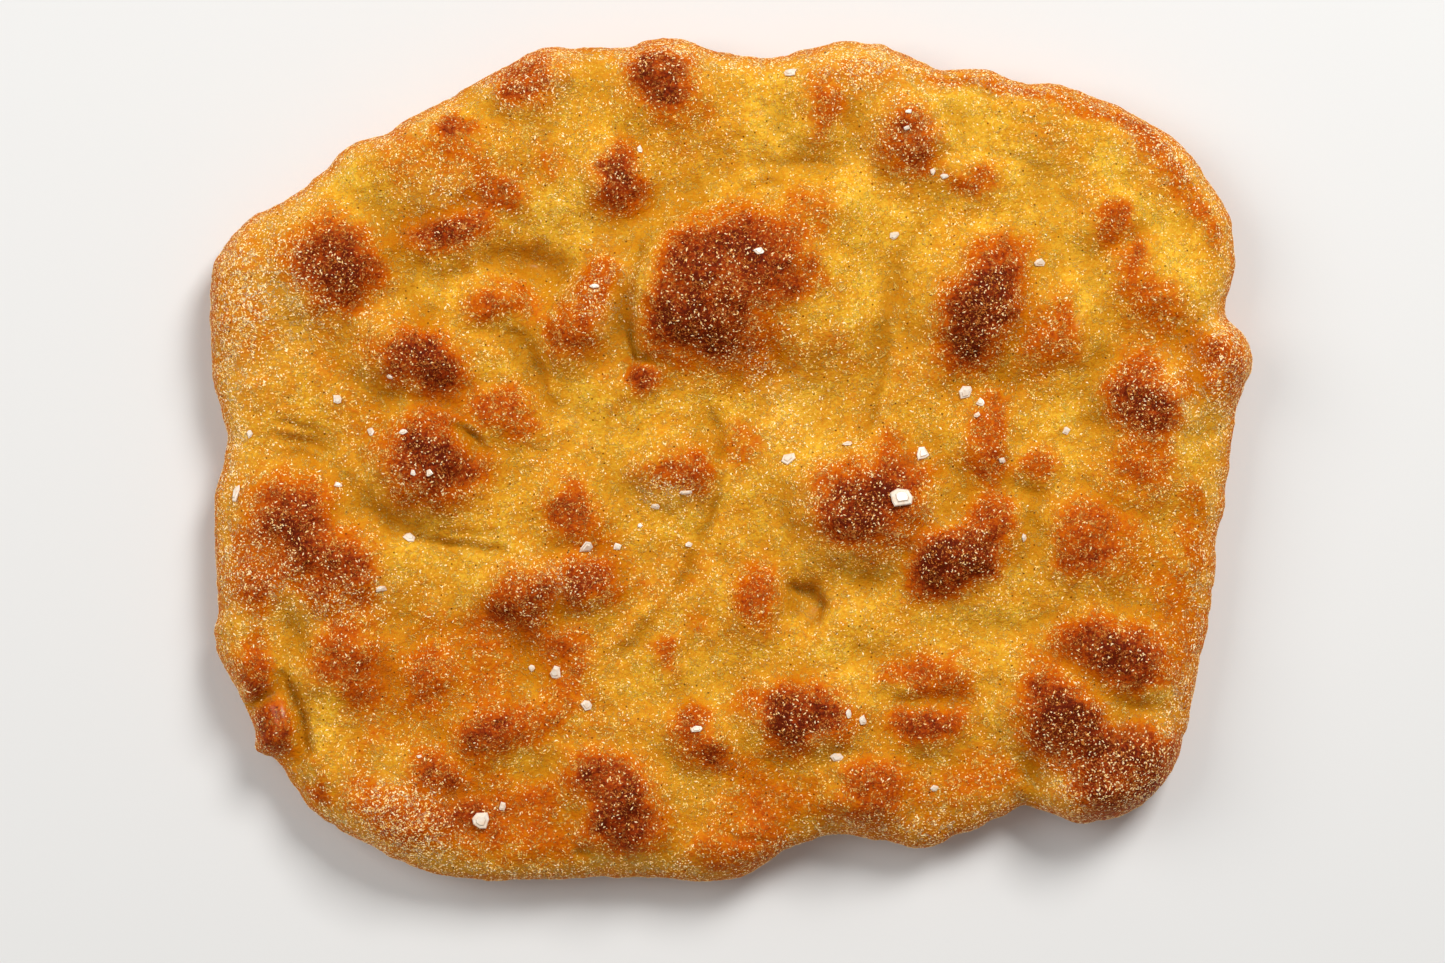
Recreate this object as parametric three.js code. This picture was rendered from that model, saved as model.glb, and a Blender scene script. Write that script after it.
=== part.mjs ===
// A focaccia: one flat loaf with a rounded rim, browned puffs, dimples and creases,
// and coarse salt flakes lying on its crust. Millimetres, +Z up, underside on Z = 0.
import * as THREE from 'three';
import { ConvexGeometry } from 'three/addons/geometries/ConvexGeometry.js';

// The loaf's main sizes.
const CRUST_HEIGHT = 20.5;     // the crust between the puffs
const WIDEST_HEIGHT = 9;       // height of the widest line round the side
const RIM_ROUNDING = 13;       // how far in from the rim the crust is still rounding over
const UNDERCUT = 5;            // how far the side tucks in below its widest line
const PUFF_SPREAD = 1.05;      // a puff's reach, as a multiple of its listed half sizes
const PUFF_BLEND = 2.4;        // higher: neighbouring puffs stay more distinct
const STEP_RUN = 5;            // how far from a crease its step rises
const STEP_FADE = 12;          // how far from a crease its step fades away
const RINGS = 27;              // rings of faces from the middle to the rim
const SIDE_HEIGHTS = [6.2, 3.6, 1.5, 0];  // rings of the side below its widest line

// Salt.
const FLAKE_GAP = 0.3;         // clear gap under each flake
const FLAKE_THICKNESS = 0.34;  // thickness as a share of the flake's mean width

// The outline seen from above, counter-clockwise from the right side.
const OUTLINE = [
  [150, 27], [147.5, 36], [142.8, 43], [145.5, 56], [143.5, 70], [136, 83], [124, 95],
  [108, 103], [94, 108], [84, 108.5], [75, 112], [66, 112.2], [58, 112.8], [48, 117.5],
  [36, 120.5], [25, 118.7], [10, 115.6], [-4, 117.6], [-14, 120.8], [-24, 121.2],
  [-32, 118.6], [-53, 118.4], [-64, 113.5], [-78, 106], [-90, 99.5], [-98, 94.6],
  [-106, 92], [-112.5, 88.7], [-117, 83.5], [-126, 76], [-139, 69], [-147.5, 59.5],
  [-150, 48], [-149.6, 34], [-149.3, 23], [-146.3, 12], [-145.2, 5], [-147.3, -5],
  [-149, -15], [-148.3, -34], [-148.2, -45], [-149.3, -51], [-146, -60], [-141, -70],
  [-137, -78], [-136.8, -84], [-131, -87], [-125, -96], [-118, -103.5], [-104, -111.7],
  [-88, -118.7], [-72, -121.5], [-45, -120.6], [-20, -120.8], [-4, -121.5], [6, -119],
  [18, -112], [31, -108.3], [44, -110], [56, -112.2], [68, -107.5], [78, -103.3],
  [83.5, -99.8], [90, -101.5], [102, -105], [115, -101.5], [125.5, -92.5], [130.7, -81],
  [134.5, -62], [138.5, -44], [140, -26], [142.8, -11], [144.3, 2], [145.5, 14],
];

// Puffs: x, y, half length, half width, turn in degrees, rise above the crust.
const PUFFS = [
  [-3, 50, 28, 22, 25, 13], [24, 66, 20, 16, 20, 8], [71, 45, 18, 15, 60, 11],
  [28, 44, 18, 20, 0, 6.5],
  [92, 36, 14, 14, 0, 7], [50, 93, 11, 13, 0, 8], [25, 98, 8, 12, 0, 6],
  [40, 108, 22, 12, 0, 4], [-20, 108, 13, 15, 0, 5], [-58, 109, 14, 11, 0, 6],
  [-85, 86, 22, 15, 10, 6], [-66, 77, 9, 7, -20, 3], [-80, 64, 14, 8, 15, 6],
  [-116, 55, 17, 17, 0, 9], [-140, 50, 14, 20, 0, 5], [-33, 80, 10, 10, 0, 5.5],
  [-68, 45, 12, 8, 0, 5], [-42, 42, 14, 9, 60, 8], [-25, 23, 7, 6, 0, 4],
  [70, 80, 14, 7, -5, 4], [107, 68, 10, 9, 0, 5], [120, 50, 15, 12, 0, 5],
  [120, 17, 13, 12, -30, 8], [143, 28, 9, 14, 0, 6], [118, 0, 13, 14, 0, 6],
  [88, -3, 7, 6, 0, 3], [71, 5, 10, 12, 0, 5], [38, -12, 20, 16, 0, 10],
  [64, -27, 15, 10, 20, 7], [75, -18, 9, 9, 0, 5], [101, -24, 16, 14, 0, 6],
  [110, -56, 18, 11, -25, 8], [94, -74, 17, 13, -20, 9], [112, -92, 20, 16, 0, 8],
  [57, -62, 13, 6, 0, 4], [56, -77, 12, 7, 0, 5], [20, -74, 18, 11, 0, 8],
  [-10, -80, 9, 10, 45, 6], [7, -42, 8, 11, 0, 5], [-18, -57, 5, 7, 0, 3],
  [-60, -38, 13, 10, 0, 7], [-42, -36, 9, 9, 0, 7], [-45, -15, 9, 11, 0, 5],
  [-17, -4, 13, 9, 0, 6], [-92, 29, 17, 11, -25, 9], [-64, 13, 11, 8, -30, 4],
  [-88, -1, 15, 15, 0, 10], [-124, -16, 13, 12, 0, 6], [-116, -32, 20, 13, 10, 7],
  [-133, -30, 14, 20, 0, 4], [-112, -57, 13, 14, 0, 5], [-86, -62, 7, 8, 0, 3],
  [-70, -79, 10, 8, 30, 5], [-86, -90, 10, 9, -30, 4], [-35, -93, 17, 10, -20, 7],
  [-30, -104, 12, 11, 0, 7], [-139, -62, 7, 9, 10, 5], [-132, -77, 7, 9, 20, 5], [38, -95, 12, 10, 0, 5],
  [2, -112, 16, 8, 0, 3], [-95, -104, 16, 12, -20, 5],
];

// Dimples: x, y, half length, half width, turn in degrees, depth below the crust.
const DIMPLES = [
  [-12, 76, 16, 7, 40, 3.5], [-56, 56, 13, 10, 0, 9.5], [-33, 38, 4, 12, 0, 1.5],
  [24, 14, 13, 13, 0, 4], [22, -40, 9, 8, 0, 5], [-96, -17, 12, 6, -15, 3],
  [20, 82, 20, 6, 0, 2], [82, 76, 13, 8, 0, 2.5], [104, 27, 5, 14, 0, 2],
  [104, 7, 6, 5, 0, 2], [86, -22, 5, 13, 0, 3], [86, -48, 28, 5, 4, 3.2],
  [84, -96, 5, 8, 0, 4], [38, -56, 7, 6, 0, 3.5], [41, -35, 7, 5, 0, 2.5],
  [-123, 4, 9, 7, 0, 4], [-125, -53, 5, 10, 20, 3], [-54, -88, 11, 6, 0, 3],
  [-5, -62, 10, 8, 0, 2], [-58, -61, 11, 6, 0, 2.5], [-5, 3, 6, 20, 0, 2],
  [8, -20, 12, 11, 0, 2.5], [42, 52, 8, 17, 0, 2.5], [-36, 8, 18, 8, -30, 2.5],
];

// Creases: depth, half width, how much higher the side left of its run is, points.
const CREASES = [
  [3.2, 6, 0, [[-12, 72], [-20, 66], [-26, 58], [-28, 48], [-28, 38], [-27, 30], [-23, 28]]],
  [3, 5, 0, [[-68, 43], [-60, 34], [-54, 22], [-49, 9]]],
  [2.4, 5.5, 1.4, [[63, 74], [55, 67], [49, 56], [46, 44], [43.5, 32], [41, 22], [39, 10], [35, 4]]],
  [2.8, 5.5, 1.5, [[17, -37], [24, -37.5], [27, -41.5], [25, -45], [22, -49]]],
  [2.5, 4, 0, [[-106, -12], [-98, -17], [-88, -21], [-78, -23], [-65, -26], [-56, -29]]],
  [2.5, 4.5, 0, [[-3, -12], [-8, -24], [-13, -36], [-22, -48], [-38, -60]]],
  [1.5, 4.5, 0, [[58, 100], [72, 92], [85, 85], [96, 77], [101, 66], [104, 50], [105, 32]]],
  [2.4, 4.5, 1.2, [[-129, -60], [-125, -66], [-122, -75], [-121, -84], [-124, -90]]],
];

// Salt flakes: x, y, length along X, width along Y.
const FLAKES = [
  [17, 110, 4, 3], [7.5, 58.5, 3.5, 2.5], [88, 56, 4, 3], [61, 80.5, 2.5, 2.3],
  [46.5, 64, 3, 2.6], [67, 19, 4, 3.8], [71.3, 16.2, 2.6, 2.4], [70.2, 12.4, 2, 2],
  [16.5, -0.5, 4.4, 4.8], [33.5, 4, 3, 2.5], [48, -11, 7, 6.3], [54.5, 1.5, 4, 4],
  [96, 8, 2.5, 2.3], [83.5, -22.5, 2.5, 2.5], [77, -0.5, 3, 2], [-21.5, -13.5, 3, 2.5],
  [-12, -24.5, 2.5, 2], [-26, -19, 1.6, 1.5], [-32.5, -25, 2.5, 2], [-41, -25, 4, 3.4],
  [-13, -9.5, 4, 1.6], [-92.5, -23, 4, 4.3], [-85.2, -4, 2, 2.8], [-90, -4, 1.6, 2],
  [-112.5, 17, 2.5, 2.4], [-137.5, 7, 2, 2.5], [-141, -10, 2.5, 5.2], [-112.5, -7.5, 2.5, 2],
  [-93, 7.5, 3, 2.5], [-102.5, 7.5, 3, 2.7], [-97, 23.5, 2, 1.9], [-41.5, -70.5, 3.5, 3],
  [-50, -61, 3.5, 3.8], [-57, -60, 2, 2.5], [-10, -77, 3.5, 2.5], [37.4, -74.4, 2.8, 3.4],
  [33.4, -72.6, 2, 2.8], [30, -85, 4, 2.4], [-71.6, -103.4, 5, 4.8], [-65.2, -99.2, 2, 2.8],
  [-89, -85, 1.6, 1.5], [58, -94, 2.5, 2.3], [-26, 88.5, 1.6, 2.5], [-39, 49, 3, 1.6],
  [-100, -37, 4, 1.7], [50, 94, 2, 1.6], [50.5, 98.6, 2, 1.7], [57.5, 82, 1.6, 2.5],
];

const bread = new THREE.MeshStandardMaterial({ color: '#cf8a2e', roughness: 0.72, metalness: 0 });
const salt = new THREE.MeshStandardMaterial({ color: '#f2ebe4', roughness: 0.3, metalness: 0 });

// Square of a point's distance from an oval's middle, in units of the oval's half sizes.
function ovalDistanceSquared(x, y, [cx, cy, a, b, turn], spread) {
  const angle = turn * Math.PI / 180;
  const along = (x - cx) * Math.cos(angle) + (y - cy) * Math.sin(angle);
  const across = (y - cy) * Math.cos(angle) - (x - cx) * Math.sin(angle);
  return (along / (a * spread)) ** 2 + (across / (b * spread)) ** 2;
}

// A crease's change of height: a groove along its points, and a step that fades sideways.
function creaseHeight(x, y, [depth, halfWidth, step, points]) {
  let nearest = Infinity;
  let side = 0;
  let place = 0;
  for (let i = 0; i + 1 < points.length; i++) {
    const [x0, y0] = points[i];
    const dx = points[i + 1][0] - x0;
    const dy = points[i + 1][1] - y0;
    const t = THREE.MathUtils.clamp(((x - x0) * dx + (y - y0) * dy) / (dx * dx + dy * dy), 0, 1);
    const distance = Math.hypot(x - x0 - t * dx, y - y0 - t * dy);
    if (distance < nearest) {
      nearest = distance;
      side = Math.sign((y - y0) * dx - (x - x0) * dy);
      place = (i + t) / (points.length - 1);
    }
  }
  const fade = Math.sqrt(Math.sin(Math.PI * place));
  const groove = depth * Math.exp(-((nearest / halfWidth) ** 2));
  const lift = step * side * (1 - Math.exp(-nearest / STEP_RUN)) * Math.exp(-nearest / STEP_FADE);
  return fade * (lift - groove);
}

// Height of the crust over a point, before the rim is rounded.
function crustHeight(x, y) {
  let puffs = 0;
  for (const puff of PUFFS) {
    puffs += (puff[5] * Math.exp(-ovalDistanceSquared(x, y, puff, PUFF_SPREAD))) ** PUFF_BLEND;
  }
  let dimples = 0;
  for (const dimple of DIMPLES) {
    dimples += dimple[5] * Math.exp(-ovalDistanceSquared(x, y, dimple, 1));
  }
  let creases = 0;
  for (const crease of CREASES) creases += creaseHeight(x, y, crease);
  return CRUST_HEIGHT + puffs ** (1 / PUFF_BLEND) - dimples + creases;
}

// Share of the way in from the middle to the rim: nearly even, with finer rings by the rim.
function ringReach(ring) {
  const u = ring / RINGS;
  return 1.094 * u - 0.094 * u ** 9;
}

// Height of the top at a point this share of the way to a rim that is rimDistance away.
function topHeight(x, y, reach, rimDistance) {
  const inward = Math.min((1 - reach) * rimDistance / RIM_ROUNDING, 1);
  const rounding = Math.sqrt(Math.max(1 - (1 - inward) ** 2, 0));
  return WIDEST_HEIGHT + (crustHeight(x, y) - WIDEST_HEIGHT) * rounding;
}

const outline = new THREE.CatmullRomCurve3(
  OUTLINE.map(([x, y]) => new THREE.Vector3(x, y, 0)), true, 'centripetal',
).getSpacedPoints(8 * RINGS).slice(0, -1);

// A square grid laid over the outline: each ring of the square becomes a ring of the loaf.
const positions = [];
const side = 2 * RINGS + 1;
for (let row = 0; row < side; row++) {
  for (let column = 0; column < side; column++) {
    const i = column - RINGS;
    const j = row - RINGS;
    const ring = Math.max(Math.abs(i), Math.abs(j));
    let step = 0;
    if (ring > 0) {
      if (i === ring) step = j + ring;
      else if (j === ring) step = 3 * ring - i;
      else if (i === -ring) step = 5 * ring - j;
      else step = 7 * ring + i;
    }
    const turn = ring ? ((step / (8 * ring) + 0.9) % 1) * outline.length : 0;
    const before = outline[Math.floor(turn) % outline.length];
    const after = outline[(Math.floor(turn) + 1) % outline.length];
    const rim = before.clone().lerp(after, turn % 1);
    const reach = ringReach(ring);
    const x = rim.x * reach;
    const y = rim.y * reach;
    positions.push(x, y, topHeight(x, y, reach, Math.hypot(rim.x, rim.y)));
  }
}
const topFaces = [];
for (let row = 0; row < side - 1; row++) {
  for (let column = 0; column < side - 1; column++) {
    const a = row * side + column;
    const [b, c, d] = [a + 1, a + side + 1, a + side];
    const leaning = (row < RINGS) === (column < RINGS);
    topFaces.push(...(leaning ? [a, b, c, a, c, d] : [a, b, d, b, c, d]));
  }
}

// The side: rings of points below the rim, tucked in towards the flat underside.
const faces = [...topFaces];
let ringAbove = [];
for (let k = 0; k < side - 1; k++) ringAbove.push(k);
for (let k = 0; k < side - 1; k++) ringAbove.push(k * side + side - 1);
for (let k = side - 1; k > 0; k--) ringAbove.push((side - 1) * side + k);
for (let k = side - 1; k > 0; k--) ringAbove.push(k * side);
const rimRing = ringAbove;
for (const height of SIDE_HEIGHTS) {
  const ring = [];
  const tuck = UNDERCUT * (1 - Math.sqrt(1 - (1 - height / WIDEST_HEIGHT) ** 2));
  for (const index of rimRing) {
    const x = positions[3 * index];
    const y = positions[3 * index + 1];
    const reach = 1 - tuck / Math.hypot(x, y);
    ring.push(positions.length / 3);
    positions.push(x * reach, y * reach, height);
  }
  for (let k = 0; k < ring.length; k++) {
    const next = (k + 1) % ring.length;
    faces.push(ringAbove[next], ringAbove[k], ring[k], ringAbove[next], ring[k], ring[next]);
  }
  ringAbove = ring;
}
const middle = positions.length / 3;
positions.push(0, 0, 0);
for (let k = 0; k < ringAbove.length; k++) {
  faces.push(middle, ringAbove[(k + 1) % ringAbove.length], ringAbove[k]);
}
const breadGeometry = new THREE.BufferGeometry();
breadGeometry.setAttribute('position', new THREE.Float32BufferAttribute(positions, 3));
breadGeometry.setIndex(faces);
breadGeometry.computeVertexNormals();

// Height of the finished top faces over a point.
function faceHeight(x, y) {
  for (let f = 0; f < topFaces.length; f += 3) {
    const [a, b, c] = [0, 1, 2].map((k) => 3 * topFaces[f + k]);
    const [ax, ay, bx, by] = [positions[a], positions[a + 1], positions[b], positions[b + 1]];
    const [cx, cy] = [positions[c], positions[c + 1]];
    if (Math.min(ax, bx, cx) > x || Math.max(ax, bx, cx) < x) continue;
    const area = (bx - ax) * (cy - ay) - (cx - ax) * (by - ay);
    const u = ((bx - x) * (cy - y) - (cx - x) * (by - y)) / area;
    const v = ((cx - x) * (ay - y) - (ax - x) * (cy - y)) / area;
    const w = 1 - u - v;
    if (u >= -1e-9 && v >= -1e-9 && w >= -1e-9) {
      return u * positions[a + 2] + v * positions[b + 2] + w * positions[c + 2];
    }
  }
  return 0;
}

// A salt flake: a thin six-cornered crystal, turned to lie along the crust under it.
function flakeGeometry([x, y, length, width], number) {
  const thickness = FLAKE_THICKNESS * (length + width) / 2;
  const reachX = length / 2;
  const reachY = width / 2;
  const normal = new THREE.Vector3(
    (faceHeight(x - reachX, y) - faceHeight(x + reachX, y)) / length,
    (faceHeight(x, y - reachY) - faceHeight(x, y + reachY)) / width,
    1,
  ).normalize();
  const tilt = new THREE.Quaternion().setFromUnitVectors(new THREE.Vector3(0, 0, 1), normal);
  const corners = [];
  for (const [level, share] of [[0, 0.86], [0.35, 1], [1, 0.66]]) {
    for (let k = 0; k < 6; k++) {
      const angle = k * Math.PI / 3 + 0.3 * Math.sin(2.3 * k + number);
      const reach = share * (1 + 0.12 * Math.sin(3.1 * k + 1.9 * number));
      const corner = new THREE.Vector3(
        reachX * reach * Math.cos(angle), reachY * reach * Math.sin(angle), level * thickness,
      );
      corners.push(corner.applyQuaternion(tilt));
    }
  }
  let lift = -Infinity;
  for (let along = -1; along <= 1; along += 0.25) {
    for (let across = -1; across <= 1; across += 0.25) {
      const foot = new THREE.Vector3(reachX * along, reachY * across, 0).applyQuaternion(tilt);
      lift = Math.max(lift, faceHeight(x + foot.x, y + foot.y) - foot.z);
    }
  }
  for (const corner of corners) corner.add(new THREE.Vector3(x, y, lift + FLAKE_GAP));
  return new ConvexGeometry(corners);
}

const focaccia = new THREE.Group();
const loaf = new THREE.Mesh(breadGeometry, bread);
loaf.name = 'bread';
focaccia.add(loaf);
FLAKES.forEach((flake, index) => {
  const crystal = new THREE.Mesh(flakeGeometry(flake, index), salt.clone());
  crystal.name = `salt_flake_${String(index + 1).padStart(2, '0')}`;
  focaccia.add(crystal);
});

export default focaccia;
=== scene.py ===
"""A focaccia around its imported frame: a puffed and browned crust, semolina grains and salt crystals."""

import math

import bpy
import numpy as np
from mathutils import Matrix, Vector


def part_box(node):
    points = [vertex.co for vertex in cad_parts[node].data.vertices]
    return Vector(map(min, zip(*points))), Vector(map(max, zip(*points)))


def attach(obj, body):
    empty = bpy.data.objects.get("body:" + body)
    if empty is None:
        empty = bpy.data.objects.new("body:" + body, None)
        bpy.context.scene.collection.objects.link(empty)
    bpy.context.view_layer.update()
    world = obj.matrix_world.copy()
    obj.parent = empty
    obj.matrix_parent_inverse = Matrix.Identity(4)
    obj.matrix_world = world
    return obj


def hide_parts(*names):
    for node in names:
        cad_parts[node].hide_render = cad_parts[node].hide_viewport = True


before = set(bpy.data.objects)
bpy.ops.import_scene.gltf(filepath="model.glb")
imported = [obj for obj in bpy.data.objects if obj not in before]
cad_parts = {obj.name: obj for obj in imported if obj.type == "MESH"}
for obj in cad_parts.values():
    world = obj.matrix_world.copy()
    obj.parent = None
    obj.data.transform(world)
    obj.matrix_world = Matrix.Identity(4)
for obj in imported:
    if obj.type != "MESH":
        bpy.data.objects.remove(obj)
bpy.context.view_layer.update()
MM = 0.001

# --- The loaf's sizes, in millimetres ---------------------------------------------------------

CRUST_HEIGHT = 20.5  # the crust between the puffs
WIDEST_HEIGHT = 9.0  # height of the widest line round the side
RIM_ROUNDING = 13.0  # how far in from the rim the crust is still rounding over
UNDERCUT = 5.0  # how far the side tucks in below its widest line
PUFF_BLEND = 2.4  # higher: neighbouring puffs stay more distinct
PUFF_POWER = 3.2  # higher: flatter tops and steeper sides
RINGS = 150  # rings of faces from the middle to the rim
SIDE_HEIGHTS = (7.4, 5.6, 3.6, 1.8, 0.6, 0.0)  # rings below the widest line
CORNER_TURN = 0.86  # share of the outline's length at the grid's first corner
SIDE_SPREAD = 0.8  # how much of its height the side adds to a place when patterns are laid over it
OUTER_RINGS = 0.094  # higher: the rings of faces crowd closer together by the rim
CURVE_STEPS = 16  # points on the smooth curve between two points of the outline
STEP_RUN = 1.4  # distance from a crease over which its step rises
STEP_FADE = 11.0  # distance over which the step fades away again
DEEPEST_CREASE = 5.0  # a crease this deep gets the full painted shade
HOLLOW_PASSES = 60  # rounds of averaging in the mean that hollows are measured from
LATTICE = 256  # points along each side of the square of noise values
GRAIN_LIFT = 0.2  # how far a grain's middle is above the crust, in half widths of the grain
GRAIN_BEND = 0.6  # how far its ends may be to one side, in the same
GRAIN_THICKNESS = 0.45  # half its thickness, in the same
SALT_THICKNESS = 0.26  # a salt crystal's thickness as a share of its mean width
SALT_GAP = 0.1  # how far above the crust its underside is
SLOPE_REACH = 0.4  # how far to each side of it the crust's slope is measured

# --- Browning and dusting, as shares from 0 to 1 ----------------------------------------------

BASE_BROWNING = 0.17  # of the crust away from spots and zones
CORE_BROWNING = 0.78  # of the middle of the darkest spots
HALO_BROWNING = 0.47  # of the soft ring round the darkest spots
RIM_BROWNING = 0.42  # of the rim and the side
BASE_DUSTING = 0.1  # away from the drifts
RIM_DUSTING = 0.38  # of the rim and the side

# --- Places on the loaf, in millimetres from its middle ---------------------------------------

# The outline seen from above, counter-clockwise from the right side.
OUTLINE = np.array(
    [
        (150, 27), (147.5, 36), (142.8, 43), (145.5, 56), (143.5, 70), (136, 83),
        (124, 95), (108, 103), (94, 108), (84, 108.5), (75, 112), (66, 112.2),
        (58, 112.8), (48, 117.5), (36, 120.5), (25, 118.7), (10, 115.6), (-4, 117.6),
        (-14, 120.8), (-24, 121.2), (-32, 118.6), (-53, 118.4), (-64, 113.5),
        (-78, 106), (-90, 99.5), (-98, 94.6), (-106, 92), (-112.5, 88.7), (-117, 83.5),
        (-126, 76), (-139, 69), (-147.5, 59.5), (-150, 48), (-149.6, 34), (-149.3, 23),
        (-146.3, 12), (-145.2, 5), (-147.3, -5), (-149, -15), (-148.3, -34),
        (-148.2, -45), (-149.3, -51), (-146, -60), (-141, -70), (-137, -78),
        (-136.8, -84), (-131, -87), (-125, -96), (-118, -103.5), (-104, -111.7),
        (-88, -118.7), (-72, -121.5), (-45, -120.6), (-20, -120.8), (-4, -121.5),
        (6, -119), (18, -112), (31, -108.3), (44, -110), (56, -112.2), (68, -107.5),
        (78, -103.3), (83.5, -99.8), (90, -101.5), (102, -105), (115, -101.5),
        (125.5, -92.5), (130.7, -81), (134.5, -62), (138.5, -44), (140, -26),
        (142.8, -11), (144.3, 2), (145.5, 14),
    ]
)

# Puffs: x, y, half length, half width, turn in degrees, rise above the crust.
PUFFS = [
    (-3, 50, 28, 22, 25, 13.0), (24, 66, 20, 16, 20, 8), (71, 45, 18, 15, 60, 11),
    (28, 44, 18, 20, 0, 6.5), (92, 36, 14, 14, 0, 7), (50, 93, 11, 13, 0, 8), (25, 98, 8, 12, 0, 6),
    (40, 108, 22, 12, 0, 4), (-20, 108, 13, 15, 0, 5), (-58, 109, 14, 11, 0, 6),
    (-85, 86, 22, 15, 10, 6), (-66, 77, 9, 7, -20, 3), (-80, 64, 14, 8, 15, 6),
    (-116, 55, 17, 17, 0, 9), (-140, 50, 14, 20, 0, 5), (-33, 80, 10, 10, 0, 5.5),
    (-68, 45, 12, 8, 0, 5), (-42, 42, 14, 9, 60, 8), (-25, 23, 7, 6, 0, 4), (70, 80, 14, 7, -5, 4),
    (107, 68, 10, 9, 0, 5), (120, 50, 15, 12, 0, 5), (120, 17, 13, 12, -30, 8),
    (143, 28, 9, 14, 0, 6), (118, 0, 13, 14, 0, 6), (88, -3, 7, 6, 0, 3), (71, 5, 10, 12, 0, 5),
    (38, -12, 20, 16, 0, 10), (64, -27, 15, 10, 20, 7), (75, -18, 9, 9, 0, 5),
    (101, -24, 16, 14, 0, 6), (110, -56, 18, 11, -25, 8), (94, -74, 17, 13, -20, 9),
    (112, -92, 20, 16, 0, 8), (57, -62, 13, 6, 0, 4), (56, -77, 12, 7, 0, 5),
    (20, -74, 18, 11, 0, 8), (-10, -80, 9, 10, 45, 6), (7, -42, 8, 11, 0, 5),
    (-18, -57, 5, 7, 0, 3), (-60, -38, 13, 10, 0, 7), (-42, -36, 9, 9, 0, 7),
    (-45, -15, 9, 11, 0, 5), (-17, -4, 13, 9, 0, 6), (-92, 29, 17, 11, -25, 9),
    (-64, 13, 11, 8, -30, 4), (-88, -1, 15, 15, 0, 10), (-124, -16, 13, 12, 0, 6),
    (-116, -32, 20, 13, 10, 7), (-133, -30, 14, 20, 0, 4), (-112, -57, 13, 14, 0, 5),
    (-86, -62, 7, 8, 0, 3), (-70, -79, 10, 8, 30, 5), (-86, -90, 10, 9, -30, 4),
    (-35, -93, 17, 10, -20, 7), (-30, -104, 12, 11, 0, 7), (-139, -62, 7, 9, 10, 5),
    (-132, -77, 7, 9, 20, 5), (38, -95, 12, 10, 0, 5), (2, -112, 16, 8, 0, 3),
    (-95, -104, 16, 12, -20, 5),
]

# Dimples: x, y, half length, half width, turn in degrees, depth below the crust.
DIMPLES = [
    (-12, 76, 16, 7, 40, 3.5), (-56, 56, 13, 10, 0, 7), (-33, 38, 4, 12, 0, 1.5),
    (24, 14, 13, 13, 0, 4), (22, -40, 9, 8, 0, 5), (-96, -17, 12, 6, -15, 3), (20, 82, 20, 6, 0, 2),
    (82, 76, 13, 8, 0, 2.5), (104, 27, 5, 14, 0, 1.2), (104, 7, 6, 5, 0, 1.2),
    (86, -22, 5, 13, 0, 3), (86, -48, 28, 5, 4, 3.2), (84, -96, 5, 8, 0, 4),
    (38, -56, 7, 6, 0, 3.5), (41, -35, 7, 5, 0, 2.5), (-123, 4, 9, 7, 0, 4),
    (-125, -53, 5, 10, 20, 3), (-54, -88, 11, 6, 0, 3), (-5, -62, 10, 8, 0, 2),
    (-58, -61, 11, 6, 0, 2.5), (-5, 3, 6, 20, 0, 2), (8, -20, 12, 11, 0, 2.5),
    (42, 52, 8, 17, 0, 2.5), (-36, 8, 18, 8, -30, 2.5),
]

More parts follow.
